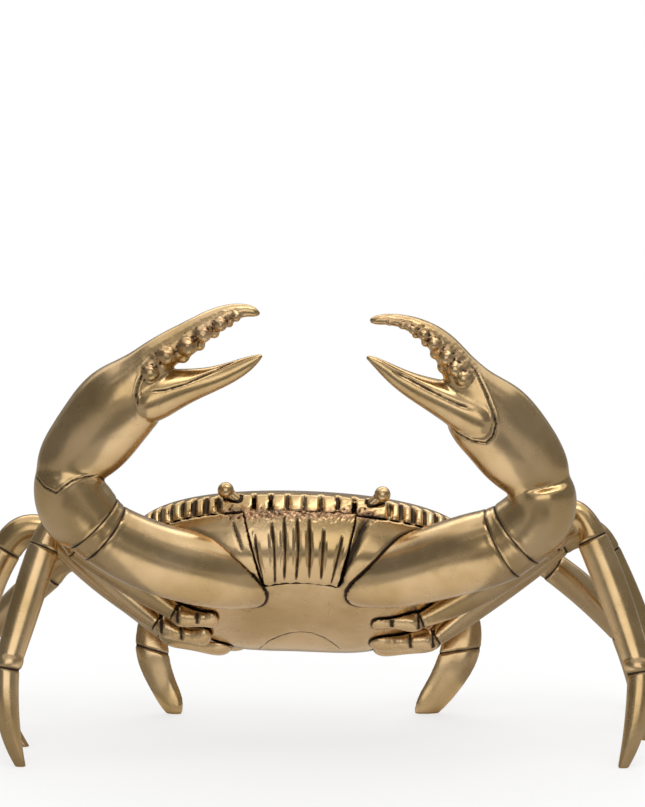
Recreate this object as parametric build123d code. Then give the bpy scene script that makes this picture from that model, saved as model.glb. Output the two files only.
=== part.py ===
from build123d import *
from math import cos, radians, sin
import os

# Crab figurine in cast brass, front raised and claws lifted, standing on its feet.
# Millimetres. X runs to the viewer's right, Y away from the viewer, Z up.

# Body: a hollow casting in two shells, pitched so that the mouth faces forward
BODY_WIDTH = 214.0
BODY_LENGTH = 146.0
BODY_PITCH = 45.0
BODY_ROLL = 2.0
BODY_SHIFT = -2.5
BODY_HEIGHT = 116.5
DORSAL_RISE = 26.0
BELLY_DEPTH = 45.0
SHELL_WALL = 3.2
RIM_HEIGHT = 12.0
INNER_SLICES = 4

# Each slice: distance to the side, front edge, rear edge, rise of the back, depth of the belly
BODY_SLICE_shares = [
    (0.00, 1.00, -1.00, 1.00, 1.00),
    (0.47, 0.94, -0.92, 0.90, 0.98),
    (0.73, 0.81, -0.60, 0.68, 0.76),
    (0.90, 0.63, -0.18, 0.36, 0.38),
    (1.00, 0.42, 0.14, 0.08, 0.08),
]
# The back from front edge to rear edge, and the belly from rear edge to front edge
BACK_CURVE_shares = [(0.80, 0.50), (0.35, 0.93), (-0.20, 1.00), (-0.72, 0.68)]
BELLY_CURVE_shares = [
    (-0.94, -0.42), (-0.72, -0.82), (-0.30, -1.00),
    (0.45, -1.00), (0.84, -0.80), (0.985, -0.36),
]

# Frontal blocks between the eyes, and the rounded teeth along each side margin
BROW_GROOVES = 7
BROW_PITCH = 10.2
BROW_GROOVE_RADIUS = 1.6
MARGIN_NOTCH_RADIUS = 2.0
MARGIN_NOTCH_shares = [0.49, 0.56, 0.63, 0.70, 0.765, 0.825, 0.88, 0.925]

# Mouth plate: a fluted casting let into the front of the belly shell
MOUTH_TOP_WIDTH = 69.0
MOUTH_BOTTOM_WIDTH = 46.0
MOUTH_DROP = 47.0
MOUTH_ARCH = 3.0
MOUTH_PROUD = 1.6
MOUTH_SHIFT = -2.2
FLUTE_WIDTH = 2.2
FLUTE_DEPTH = 1.5
FLUTE_MARGIN = 2.8

# Each flute: its foot across the bottom, its head across the top, and how far below the seam the head starts
FLUTE_shares = [
    (-0.93, -0.84, 0.22), (-0.69, -0.53, 0.05), (-0.45, -0.30, 0.01), (-0.12, -0.065, 0.01),
    (0.24, 0.155, 0.01), (0.56, 0.43, 0.18), (0.83, 0.77, 0.25),
]

# Apron line cut round the tail flap under the belly
APRON_WIDTH = 62.0
APRON_LENGTH = 57.0
APRON_LINE_WIDTH = 1.2
APRON_LINE_DEPTH = 0.9

# Eyes: a ball on a short stalk, let into the brow
EYE_RADIUS = 5.0
STALK_RADIUS = 3.2
STALK_LENGTH = 13.0
STALK_SEAT = 3.0
EYE_SPREAD = 46.0
EYE_OUTWARD = 0.62
EYE_UPWARD = 0.52

# Fits shared by every joint
FIT = 0.15
SEAM = 0.15
OVERRUN = 40.0

# Claw limbs: reach of the elbow, how far forward the tips are, and the height of the tips
CLAW_REACH = 150.0
CLAW_FORWARD = 100.0
CLAW_HEIGHT = 290.0
CLAW_WALL = 3.4
TENON_LENGTH = 7.0
TENON_EASE = 0.6
ARM_WIDTH = 44.0
ARM_THICKNESS = 42.0
PALM_WIDTH = 54.0
PALM_THICKNESS = 36.0
THUMB_WIDTH = 28.0
THUMB_THICKNESS = 22.0
MOLAR_RADIUS = 5.0
PALM_CORE_STATIONS = 5

# Stations along a claw limb: x, y, z of the centreline, then width and thickness
RIGHT_ARM_shares = [
    (0.18, -0.33, 0.388, 0.84, 0.84),
    (0.29, -0.48, 0.407, 0.98, 0.97),
    (0.48, -0.60, 0.434, 1.04, 1.00),
    (0.635, -0.69, 0.465, 1.09, 1.00),
    (0.74, -0.74, 0.485, 1.08, 0.97),
    (0.795, -0.76, 0.497, 1.05, 0.93),
]
RIGHT_COLLAR_shares = [(0.795, -0.76, 0.497, 1.05, 0.93), (0.850, -0.78, 0.517, 1.00, 0.92)]
RIGHT_ELBOW_shares = [
    (0.850, -0.78, 0.517, 1.00, 0.92),
    (0.925, -0.80, 0.553, 1.00, 0.93),
    (0.952, -0.82, 0.594, 0.93, 0.90),
    (0.941, -0.83, 0.628, 0.84, 0.84),
]
RIGHT_PALM_shares = [
    (0.950, -0.87, 0.613, 0.36, 0.40),
    (0.941, -0.84, 0.630, 0.70, 0.84),
    (0.903, -0.83, 0.661, 0.84, 0.98),
    (0.841, -0.85, 0.701, 0.93, 1.06),
    (0.770, -0.88, 0.748, 0.95, 1.04),
    (0.697, -0.91, 0.793, 0.88, 0.92),
    (0.655, -0.93, 0.834, 0.62, 0.72),
    (0.604, -0.94, 0.877, 0.40, 0.56),
    (0.549, -0.94, 0.917, 0.31, 0.47),
    (0.480, -0.95, 0.950, 0.22, 0.38),
    (0.398, -0.96, 0.970, 0.155, 0.30),
    (0.325, -0.97, 0.977, 0.12, 0.21),
    (0.275, -0.98, 0.976, 0.095, 0.14),
    (0.254, -0.98, 0.975, 0.04, 0.06),
]
RIGHT_THUMB_shares = [
    (0.752, -0.91, 0.752, 0.55, 1.00),
    (0.683, -0.915, 0.774, 1.05, 1.62),
    (0.578, -0.93, 0.803, 0.88, 1.32),
    (0.485, -0.94, 0.824, 0.66, 0.96),
    (0.393, -0.95, 0.848, 0.48, 0.66),
    (0.314, -0.97, 0.876, 0.31, 0.40),
    (0.243, -0.98, 0.901, 0.08, 0.12),
]
LEFT_ARM_shares = [
    (0.18, -0.33, 0.388, 0.84, 0.84),
    (0.29, -0.48, 0.405, 0.97, 0.97),
    (0.47, -0.61, 0.433, 1.02, 1.00),
    (0.63, -0.69, 0.464, 0.99, 0.96),
    (0.755, -0.75, 0.500, 0.94, 0.92),
    (0.808, -0.77, 0.519, 0.91, 0.90),
]
LEFT_COLLAR_shares = [(0.808, -0.77, 0.519, 0.91, 0.90), (0.852, -0.78, 0.541, 0.94, 0.90)]
LEFT_ELBOW_shares = [
    (0.852, -0.78, 0.541, 0.94, 0.90),
    (0.920, -0.80, 0.578, 1.06, 0.95),
    (0.948, -0.82, 0.620, 0.96, 0.92),
    (0.950, -0.83, 0.657, 0.85, 0.86),
]
LEFT_PALM_shares = [
    (0.957, -0.87, 0.630, 0.36, 0.40),
    (0.950, -0.84, 0.660, 0.71, 0.84),
    (0.893, -0.83, 0.697, 0.86, 0.98),
    (0.827, -0.85, 0.737, 0.93, 1.06),
    (0.762, -0.88, 0.781, 0.94, 1.04),
    (0.694, -0.91, 0.820, 0.87, 0.92),
    (0.630, -0.93, 0.863, 0.62, 0.72),
    (0.563, -0.94, 0.906, 0.40, 0.60),
    (0.475, -0.94, 0.933, 0.37, 0.54),
    (0.408, -0.95, 0.958, 0.30, 0.46),
    (0.327, -0.96, 0.981, 0.245, 0.36),
    (0.249, -0.97, 0.995, 0.155, 0.24),
    (0.191, -0.98, 0.992, 0.10, 0.15),
    (0.167, -0.98, 0.988, 0.03, 0.05),
]
LEFT_THUMB_shares = [
    (0.676, -0.91, 0.796, 0.60, 1.05),
    (0.610, -0.915, 0.810, 0.98, 1.60),
    (0.507, -0.93, 0.833, 0.86, 1.28),
    (0.385, -0.94, 0.850, 0.57, 0.86),
    (0.274, -0.95, 0.872, 0.41, 0.58),
    (0.205, -0.97, 0.892, 0.24, 0.34),
    (0.169, -0.98, 0.904, 0.07, 0.10),
]
# Crushing teeth on the fixed finger: station passed, towards its biting edge and its front, and their size
RIGHT_MOLAR_shares = [
    (6.60, 0.05, 0.80, 1.00), (7.10, 0.15, 0.85, 0.85), (7.70, 0.25, 0.85, 0.85), (8.50, 0.25, 0.85, 0.76),
    (9.10, 0.30, 0.80, 0.66), (9.65, 0.35, 0.75, 0.58), (10.20, 0.40, 0.70, 0.50), (10.90, 0.40, 0.60, 0.42),
    (7.40, 0.80, 0.20, 0.70), (8.10, 0.80, 0.20, 0.62), (8.80, 0.80, 0.20, 0.54), (9.40, 0.80, 0.20, 0.46),
]
LEFT_MOLAR_shares = [
    (6.25, 0.10, 0.80, 1.05), (7.15, 0.15, 0.85, 1.10), (8.05, 0.35, 0.85, 1.12), (9.00, 0.35, 0.85, 1.02),
    (9.85, 0.40, 0.80, 0.86), (10.70, 0.40, 0.75, 0.62), (7.60, 0.80, 0.20, 0.80), (8.50, 0.80, 0.20, 0.74),
    (9.40, 0.80, 0.20, 0.66), (10.25, 0.80, 0.20, 0.50),
]

# Walking legs: reach of the widest knee, how far back the rear knee is, and the highest knee
LEG_REACH = 200.0
LEG_DEPTH = 60.0
LEG_HEIGHT = 150.0
HIP_HEIGHT = 14.0
HIP_THICKNESS = 16.0
HIP_INSET = 14.0
THIGH_WIDTH = 21.5
THIGH_THICKNESS = 17.0
SHIN_WIDTH = 20.0
SHIN_THICKNESS = 16.0
FOOT_WIDTH = 15.0
FOOT_THICKNESS = 12.0
ANKLE_BAND = 9.0
ANKLE_BULGE = 1.0
PEG = 5.0
PEG_LENGTH = 4.0
PEG_END_GAP = 0.4

# Each leg: two hip lobes with a waist between them, hip end, thigh middle, knee in, knee crown, knee out,
# shin middle, ankle, foot middle, foot tip
RIGHT_LEG_shares = {
    1: [
        (0.230, -0.50, 0.565), (0.268, -0.50, 0.565), (0.312, -0.48, 0.560), (0.355, -0.43, 0.560),
        (0.544, -0.33, 0.685), (0.765, -0.37, 0.895), (0.845, -0.40, 0.995), (0.887, -0.47, 0.905),
        (0.953, -0.60, 0.692), (1.030, -0.87, 0.378), (1.018, -0.99, 0.205), (0.972, -1.10, -0.012),
    ],
    2: [
        (0.265, -0.20, 0.440), (0.325, -0.18, 0.442), (0.365, -0.15, 0.443), (0.405, -0.10, 0.445),
        (0.600, 0.10, 0.640), (0.805, 0.16, 0.838), (0.895, 0.17, 0.872), (0.950, 0.17, 0.785),
        (1.025, 0.13, 0.560), (1.100, 0.03, 0.325), (1.112, -0.05, 0.160), (1.070, -0.10, -0.012),
    ],
    3: [
        (0.270, 0.06, 0.392), (0.335, 0.10, 0.394), (0.375, 0.15, 0.400), (0.410, 0.22, 0.412),
        (0.550, 0.58, 0.565), (0.685, 0.85, 0.685), (0.742, 0.90, 0.705), (0.800, 0.93, 0.655),
        (0.909, 0.97, 0.535), (1.033, 1.02, 0.350), (1.078, 1.00, 0.170), (1.090, 0.95, -0.012),
    ],
}
LEFT_LEG_shares = {
    1: [
        (0.300, -0.50, 0.575), (0.337, -0.50, 0.575), (0.370, -0.48, 0.578), (0.405, -0.43, 0.595),
        (0.549, -0.33, 0.725), (0.712, -0.37, 0.868), (0.772, -0.40, 0.955), (0.812, -0.48, 0.870),
        (0.856, -0.60, 0.692), (0.922, -0.86, 0.394), (0.918, -0.97, 0.205), (0.875, -1.05, -0.012),
    ],
    2: [
        (0.335, -0.20, 0.470), (0.395, -0.18, 0.480), (0.430, -0.15, 0.495), (0.465, -0.10, 0.512),
        (0.625, 0.10, 0.672), (0.800, 0.16, 0.873), (0.885, 0.17, 0.885), (0.950, 0.17, 0.800),
        (1.020, 0.07, 0.592), (1.030, -0.10, 0.375), (0.985, -0.23, 0.190), (0.882, -0.35, -0.012),
    ],
    3: [
        (0.300, 0.06, 0.400), (0.360, 0.10, 0.410), (0.405, 0.15, 0.422), (0.450, 0.22, 0.442),
        (0.590, 0.58, 0.580), (0.725, 0.85, 0.685), (0.785, 0.90, 0.695), (0.837, 0.93, 0.622),
        (0.930, 0.97, 0.512), (1.050, 1.02, 0.345), (1.085, 1.00, 0.170), (1.090, 0.95, -0.012),
    ],
}

# Swimming legs: place of the paddle's top and the height of its joint
SWIM_REACH = 100.0
SWIM_DEPTH = 80.0
SWIM_HEIGHT = 75.0
SWIM_WIDTH = 16.0
SWIM_THICKNESS = 13.0
BLADE_WIDTH = 24.0
BLADE_THICKNESS = 9.0
BLADE_SEAM_TILT = -28.0
# Hip lobe and end, thigh middle, knee in, knee crown, blade root, middle and joint, paddle middle, low, tip
RIGHT_SWIM_shares = [
    (0.44, 0.37, 0.75), (0.58, 0.50, 0.77), (0.76, 0.66, 0.86), (0.89, 0.82, 0.96), (0.975, 0.89, 0.99),
    (1.03, 0.87, 0.87), (1.03, 0.81, 0.70), (1.005, 0.75, 0.545), (0.917, 0.71, 0.295), (0.828, 0.69, 0.125),
    (0.735, 0.675, -0.02),
]
LEFT_SWIM_shares = [
    (0.44, 0.37, 0.75), (0.58, 0.50, 0.77), (0.76, 0.66, 0.86), (0.89, 0.82, 0.96), (0.97, 0.89, 0.99),
    (1.02, 0.87, 0.87), (1.02, 0.81, 0.70), (1.015, 0.75, 0.555), (0.957, 0.72, 0.285), (0.895, 0.69, 0.116),
    (0.850, 0.665, -0.02),
]
SWIM_WIDTH_shares = {1: (1.08, 0.94, 0.80), -1: (0.90, 0.76, 0.66)}

ROUND_shares = [(1, 0), (0.71, 0.71), (0, 1), (-0.71, 0.71), (-1, 0), (-0.71, -0.71), (0, -1), (0.71, -0.71)]

BACK = Vector(0, 1, 0)


def rolled(way):
    """A direction turned about the front-to-back axis by the body's slight lean."""
    c, s = cos(radians(BODY_ROLL)), sin(radians(BODY_ROLL))
    return Vector(way.X * c + way.Z * s, way.Y, way.Z * c - way.X * s)


ACROSS = rolled(Vector(1, 0, 0))
FORWARD_UP = rolled(Vector(0, -cos(radians(BODY_PITCH)), sin(radians(BODY_PITCH))))
DORSAL = rolled(Vector(0, sin(radians(BODY_PITCH)), cos(radians(BODY_PITCH))))
BODY_CENTRE = Vector(BODY_SHIFT, 0, BODY_HEIGHT)


# Places on the body
def body_point(side, along, rise):
    """A place given across the body, towards its front edge, and towards its back."""
    return BODY_CENTRE + ACROSS * side + FORWARD_UP * along + DORSAL * rise


def front_edge(side):
    """How far forward the body's margin is at a place across it."""
    share = abs(side) / (BODY_WIDTH / 2)
    slices = BODY_SLICE_shares
    for near, far in zip(slices, slices[1:]):
        if share <= far[0]:
            mix = (share - near[0]) / (far[0] - near[0])
            return (near[1] + (far[1] - near[1]) * mix) * BODY_LENGTH / 2
    return slices[-1][1] * BODY_LENGTH / 2


# Body solids
def body_slice(side, front, rear, rise, depth):
    """One upright slice of the body, from its front edge over the back and under the belly."""
    centre, half = (front + rear) / 2, (front - rear) / 2
    tip, tail = (centre + half, 0), (centre - half, 0)
    back = [(centre + along * half, up * rise) for along, up in BACK_CURVE_shares]
    belly = [(centre + along * half, down * depth) for along, down in BELLY_CURVE_shares]
    outline = Spline(tip, *back, tail) + Spline(tail, *belly, tip)
    return Plane(body_point(side, 0, 0), x_dir=FORWARD_UP, z_dir=-ACROSS) * make_face(outline)


def body_solid(grow, slices):
    """The whole body, grown or shrunk all round."""
    sizes = BODY_SLICE_shares[:slices]
    mirrored = [(-s, *rest) for s, *rest in reversed(sizes[1:])] + sizes
    faces = []
    for side, front, rear, rise, depth in mirrored:
        faces.append(
            body_slice(
                side * (BODY_WIDTH / 2 + grow),
                front * BODY_LENGTH / 2 + grow,
                rear * BODY_LENGTH / 2 - grow,
                rise * DORSAL_RISE + grow,
                depth * BELLY_DEPTH + grow,
            )
        )
    return loft(faces)


def margin_cutters():
    """Round cutters set upright along the margin, for the brow blocks and the side teeth."""
    cutters = []
    middle = (BROW_GROOVES - 1) / 2
    for i in range(BROW_GROOVES):
        side = (i - middle) * BROW_PITCH
        cutters.append((side, BROW_GROOVE_RADIUS))
    for share in MARGIN_NOTCH_shares:
        side = share * BODY_WIDTH / 2
        cutters += [(side, MARGIN_NOTCH_RADIUS), (-side, MARGIN_NOTCH_RADIUS)]
    solids = []
    for side, radius in cutters:
        place = Plane(body_point(side, front_edge(side), 0), z_dir=DORSAL)
        solids.append(place * Cylinder(radius, 2 * RIM_HEIGHT + 2 * FIT))
    return solids


def eye_axis(side):
    """Where an eye's stalk starts in the brow, and the way it points."""
    across = side * (EYE_SPREAD - EYE_OUTWARD * STALK_LENGTH)
    start = body_point(across, front_edge(across) - STALK_RADIUS, 0) - DORSAL * STALK_RADIUS
    return start, Vector(side * EYE_OUTWARD, 0, EYE_UPWARD).normalized()


def eye(side, grow=0.0):
    """A turned stalk with a ball on its end."""
    start, way = eye_axis(side)
    stalk, ball = STALK_RADIUS + grow, EYE_RADIUS + grow
    foot = -STALK_SEAT - grow
    neck = STALK_LENGTH - (ball**2 - stalk**2) ** 0.5
    top = STALK_LENGTH + ball
    edge = Polyline((0, top), (0, foot), (stalk, foot), (stalk, neck))
    edge += ThreePointArc((stalk, neck), (ball, STALK_LENGTH), (0, top))
    return Plane(start, z_dir=way) * revolve(Plane.XZ * make_face(edge), Axis.Z)


def mouth_top():
    """The middle of the mouth plate's top edge, on the parting of the shells."""
    return body_point(MOUTH_SHIFT, front_edge(MOUTH_SHIFT), -RIM_HEIGHT)


def mouth_outline(gap):
    """The mouth plate's outline seen from in front: wider above, arched below."""
    seam = mouth_top()
    low, middle = seam.Z - MOUTH_DROP + gap, seam.X
    half_low = MOUTH_BOTTOM_WIDTH / 2 - gap
    flare = (MOUTH_TOP_WIDTH - MOUTH_BOTTOM_WIDTH) / 2 / MOUTH_DROP
    high = seam.Z + OVERRUN
    half_high = half_low + flare * (high - low)
    outline = Polyline(
        (middle - half_low, low), (middle - half_high, high),
        (middle + half_high, high), (middle + half_low, low),
    )
    outline += ThreePointArc((middle + half_low, low), (middle, low + MOUTH_ARCH), (middle - half_low, low))
    return Plane.XZ * make_face(outline)


def mouth_prism(gap):
    return extrude(mouth_outline(gap), amount=BODY_LENGTH)


def flutes(core):
    """Grooves in the mouth plate, widest half way up and drawn to a point at both ends."""
    seam = mouth_top()
    low = seam.Z - MOUTH_DROP + FLUTE_MARGIN
    cut = []
    for foot_share, head_share, start_share in FLUTE_shares:
        foot = Vector(seam.X + foot_share * MOUTH_BOTTOM_WIDTH / 2, low)
        head = Vector(seam.X + head_share * MOUTH_TOP_WIDTH / 2, seam.Z - start_share * MOUTH_DROP)
        middle, half = (foot + head) / 2, Vector(FLUTE_WIDTH / 2, 0)
        spindle = Polyline(foot, middle - half, head, middle + half, close=True)
        cut.append(extrude(Plane.XZ * make_face(spindle), amount=BODY_LENGTH))
    return [spindle - core for spindle in cut]


def apron_line(core):
    """A shallow groove round the tail flap, following the belly."""
    width, length = APRON_WIDTH / 2, APRON_LENGTH
    start = -BODY_LENGTH / 2
    arch = [(start, -width), (start + 0.62 * length, -0.72 * width), (start + length, 0)]
    arch += [(start + 0.62 * length, 0.72 * width), (start, width)]
    outer = Spline(*arch) + Line(arch[-1], arch[0])
    inner_shares = 1 - APRON_LINE_WIDTH / width
    inner = [(start + (a - start) * inner_shares, b * inner_shares) for a, b in arch]
    hole = Spline(*inner) + Line(inner[-1], inner[0])
    under = Plane(BODY_CENTRE, x_dir=FORWARD_UP, z_dir=-DORSAL)
    ring = under * (make_face(outer) - make_face(hole))
    return extrude(ring, amount=BODY_LENGTH) - core


# Limb castings
def stations_at(shares, reach, depth, height, side):
    """Centreline points of a limb on one side of the body."""
    return [Vector(side * x * reach, y * depth, z * height) for x, y, z, *_ in shares]


def directions(points):
    """The way a limb runs at each of its points."""
    ways = []
    for i in range(len(points)):
        before, after = points[max(i - 1, 0)], points[min(i + 1, len(points) - 1)]
        ways.append((after - before).normalized())
    return ways


def oval(centre, way, side, half_width, half_thickness):
    """A slice of a limb, its width in the upright plane across the body, its thickness front to back."""
    across = BACK.cross(way).normalized() * side
    points = [(x * half_width, y * half_thickness) for x, y in ROUND_shares]
    return Plane(centre, x_dir=across, z_dir=way) * make_face(Spline(*points, periodic=True))


def casting(points, ways, sizes, side, grow=0.0):
    """A limb piece lofted through its slices. Sizes are the full width and thickness of each slice."""
    slices = []
    for centre, way, (width, thickness) in zip(points, ways, sizes):
        slices.append(oval(centre, way, side, width / 2 + grow, thickness / 2 + grow))
    return loft(slices)


def square_peg(centre, way, size, inward, outward):
    """A square peg through a joint, from its inner end to its outer end."""
    length = inward + outward
    return Plane(centre - way * inward, z_dir=way, x_dir=BACK.cross(way)) * Box(
        size, size, length, align=(Align.CENTER, Align.CENTER, Align.MIN)
    )


def pegged(inner, outer, centre, way, size, length):
    """Joins two castings with a square peg: it stands on the outer one, and the inner one is bored for it."""
    peg = square_peg(centre, way, size, length, length)
    hole = square_peg(centre, way, size + 2 * FIT, length + PEG_END_GAP, size)
    return inner - hole, outer + peg


# Claws
def claw_run(shares, side, width, thickness):
    points = stations_at(shares, CLAW_REACH, CLAW_FORWARD, CLAW_HEIGHT, side)
    sizes = [(w * width, t * thickness) for *_, w, t in shares]
    return points, sizes


def claw_arm(arm, collar, elbow, side, body):
    """The upper arm coped to the body, the ring on its end, and the elbow with its tenon through the ring."""
    arm_points, arm_sizes = claw_run(arm, side, ARM_WIDTH, ARM_THICKNESS)
    collar_points, collar_sizes = claw_run(collar, side, ARM_WIDTH, ARM_THICKNESS)
    elbow_points, elbow_sizes = claw_run(elbow, side, ARM_WIDTH, ARM_THICKNESS)
    ways = directions(arm_points + collar_points[1:] + elbow_points[1:])
    first = len(arm_points) - 1
    arm_ways, collar_ways, elbow_ways = ways[: first + 1], ways[first : first + 2], ways[first + 1 :]

    upper = casting(arm_points, arm_ways, arm_sizes, side)
    upper -= casting(arm_points[1:], arm_ways[1:], arm_sizes[1:], side, -CLAW_WALL)
    upper -= body
    ring = casting(collar_points, collar_ways, collar_sizes, side)
    ring -= casting(collar_points, collar_ways, collar_sizes, side, -CLAW_WALL)

    joint = casting(elbow_points, elbow_ways, elbow_sizes, side)
    joint += casting(collar_points, collar_ways, collar_sizes, side, -CLAW_WALL - FIT)
    root, way = collar_points[0], collar_ways[0]
    tenon_size = [collar_sizes[0]] * 2
    joint += casting([root - way * TENON_LENGTH, root], [way] * 2, tenon_size, side, -CLAW_WALL - TENON_EASE)
    return upper, ring, joint


def claw_hand(palm, thumb, molar_shares, side):
    """The hollow palm cast with its fixed finger and teeth, and the thumb let into it."""
    points, sizes = claw_run(palm, side, PALM_WIDTH, PALM_THICKNESS)
    ways = directions(points)
    hand = casting(points, ways, sizes, side)
    for molar in molars(molar_shares, points, ways, sizes, side):
        hand += molar
    cored = PALM_CORE_STATIONS
    hand -= casting(points[:cored], ways[:cored], sizes[:cored], side, -CLAW_WALL)

    thumb_points, thumb_sizes = claw_run(thumb, side, THUMB_WIDTH, THUMB_THICKNESS)
    thumb_ways = directions(thumb_points)
    hand -= casting(thumb_points, thumb_ways, thumb_sizes, side, SEAM)
    seat = casting([points[0] - ways[0] * SEAM, *points[1:]], ways, sizes, side, SEAM)
    return hand, casting(thumb_points, thumb_ways, thumb_sizes, side), seat


def claw(side, name, arm, collar, elbow, palm, thumb, molar_shares, body):
    """The castings of one claw limb, from the body outwards."""
    upper, ring, joint = claw_arm(arm, collar, elbow, side, body)
    hand, moving, seat = claw_hand(palm, thumb, molar_shares, side)
    return {
        f"{name}_claw_arm": upper,
        f"{name}_claw_collar": ring,
        f"{name}_claw_elbow": joint - seat,
        f"{name}_claw_palm": hand,
        f"{name}_claw_thumb": moving,
    }


def molars(shares, points, ways, sizes, side):
    """Rounded crushing teeth standing out of the fixed finger's biting side."""
    found = []
    for place, edge, front, size in shares:
        i = int(place)
        mix = place - i
        centre = points[i] + (points[i + 1] - points[i]) * mix
        way = (ways[i] * (1 - mix) + ways[i + 1] * mix).normalized()
        half_width = (sizes[i][0] * (1 - mix) + sizes[i + 1][0] * mix) / 2
        half_thickness = (sizes[i][1] * (1 - mix) + sizes[i + 1][1] * mix) / 2
        inward = BACK.cross(way).normalized() * -side
        centre += inward * (edge * half_width) - BACK * (front * half_thickness)
        found.append(Plane(centre, z_dir=way) * Sphere(MOLAR_RADIUS * size))
    return found


# Legs
LEG_PIECES = ["hip", "thigh", "knee", "shin", "foot"]


def limb(points, sizes, spans, side, body, seam_tilt=0.0):
    """Castings along one leg, keyed to each other, the inner two coped to the body, the last to the floor."""
    ways = directions(points)
    pieces = []
    for first, last in spans:
        part = slice(first, last + 1)
        pieces.append(casting(points[part], ways[part], sizes[part], side))
    if seam_tilt:
        root, seam = spans[-2]
        whole = casting(points[root:], ways[root:], sizes[root:], side)
        slant = Plane(points[seam], z_dir=ways[seam].rotate(Axis.Y, seam_tilt * side))
        pieces[-2:] = [split(whole, bisect_by=slant, keep=keep) for keep in (Keep.BOTTOM, Keep.TOP)]
    for i, (first, _) in enumerate(spans[1:]):
        size = min(PEG, sizes[first][1] / 2)
        pair = pegged(pieces[i], pieces[i + 1], points[first], ways[first], size, PEG_LENGTH)
        pieces[i], pieces[i + 1] = pair
    pieces[0] -= body
    pieces[1] -= body
    pieces[-1] = split(pieces[-1], bisect_by=Plane.XY, keep=Keep.TOP)
    return pieces, ways


def hip_root(point, side):
    """Where a hip starts inside the body."""
    return point + (DORSAL - ACROSS * side) * (HIP_INSET / 2**0.5)


def leg(side, name, number, joints, body):
    """Five castings, from the hip on the belly to the foot."""
    points = stations_at(joints, LEG_REACH, LEG_DEPTH, LEG_HEIGHT, side)
    points = [hip_root(points[0], side)] + points
    knee = 0.86 * THIGH_WIDTH
    sizes = [
        (HIP_HEIGHT, HIP_THICKNESS),
        (HIP_HEIGHT, HIP_THICKNESS),
        (0.84 * HIP_HEIGHT, 0.84 * HIP_THICKNESS),
        (HIP_HEIGHT, HIP_THICKNESS),
        (0.88 * HIP_HEIGHT, 0.88 * HIP_THICKNESS),
        (THIGH_WIDTH, THIGH_THICKNESS),
        (knee, 0.9 * THIGH_THICKNESS),
        (1.06 * knee, THIGH_THICKNESS),
        (0.98 * SHIN_WIDTH, SHIN_THICKNESS),
        (SHIN_WIDTH, SHIN_THICKNESS),
        (1.05 * FOOT_WIDTH, 1.05 * FOOT_THICKNESS),
        (0.95 * FOOT_WIDTH, 0.95 * FOOT_THICKNESS),
        (0.36 * FOOT_WIDTH, 0.36 * FOOT_THICKNESS),
    ]
    spans = [(0, 4), (4, 6), (6, 8), (8, 10), (10, 12)]
    pieces, ways = limb(points, sizes, spans, side, body)
    ankle, above = points[10], (points[9] - points[10]).normalized() * ANKLE_BAND
    band_points = [ankle + above, ankle + above / 2, ankle]
    width, thickness = sizes[10]
    crown = (width + 2 * ANKLE_BULGE, thickness + 2 * ANKLE_BULGE)
    band_sizes = [(width, thickness), crown, (width, thickness)]
    band = casting(band_points, [ways[10]] * 3, band_sizes, side)
    pieces[3] += band - square_peg(ankle, ways[10], PEG + 2 * FIT, PEG_LENGTH + PEG_END_GAP, 0.0)
    return {f"{name}_leg_{number}_{piece}": solid for piece, solid in zip(LEG_PIECES, pieces)}


SWIM_PIECES = ["hip", "thigh", "blade", "paddle"]


def swimming_leg(side, name, joints, body):
    """The rear leg, whose last two castings are flat."""
    points = stations_at(joints, SWIM_REACH, SWIM_DEPTH, SWIM_HEIGHT, side)
    points = [hip_root(points[0], side)] + points
    wide, middle, low = SWIM_WIDTH_shares[side]
    sizes = [
        (HIP_HEIGHT, HIP_HEIGHT),
        (HIP_HEIGHT, HIP_HEIGHT),
        (0.88 * HIP_HEIGHT, 0.88 * HIP_HEIGHT),
        (SWIM_WIDTH, SWIM_THICKNESS),
        (0.94 * SWIM_WIDTH, 0.94 * SWIM_THICKNESS),
        (0.94 * SWIM_WIDTH, 0.94 * SWIM_THICKNESS),
        (0.98 * SWIM_WIDTH, 0.85 * SWIM_THICKNESS),
        (0.93 * wide * BLADE_WIDTH, BLADE_THICKNESS),
        (wide * BLADE_WIDTH, 0.85 * BLADE_THICKNESS),
        (middle * BLADE_WIDTH, 0.75 * BLADE_THICKNESS),
        (low * BLADE_WIDTH, 0.65 * BLADE_THICKNESS),
        (0.4 * low * BLADE_WIDTH, 0.4 * BLADE_THICKNESS),
    ]
    spans = [(0, 2), (2, 6), (6, 8), (8, 11)]
    pieces, _ = limb(points, sizes, spans, side, body, BLADE_SEAM_TILT)
    return {f"{name}_swimming_{piece}": solid for piece, solid in zip(SWIM_PIECES, pieces)}


def standing(nodes):
    """Moves everything so that the floor and the middle of the footprint are at the origin."""
    box = Compound(children=[Compound(list(solid.solids())) for solid in nodes.values()]).bounding_box()
    shift = Pos(-box.center().X, -box.center().Y, -box.min.Z)
    return {name: shift * solid for name, solid in nodes.items()}


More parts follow.
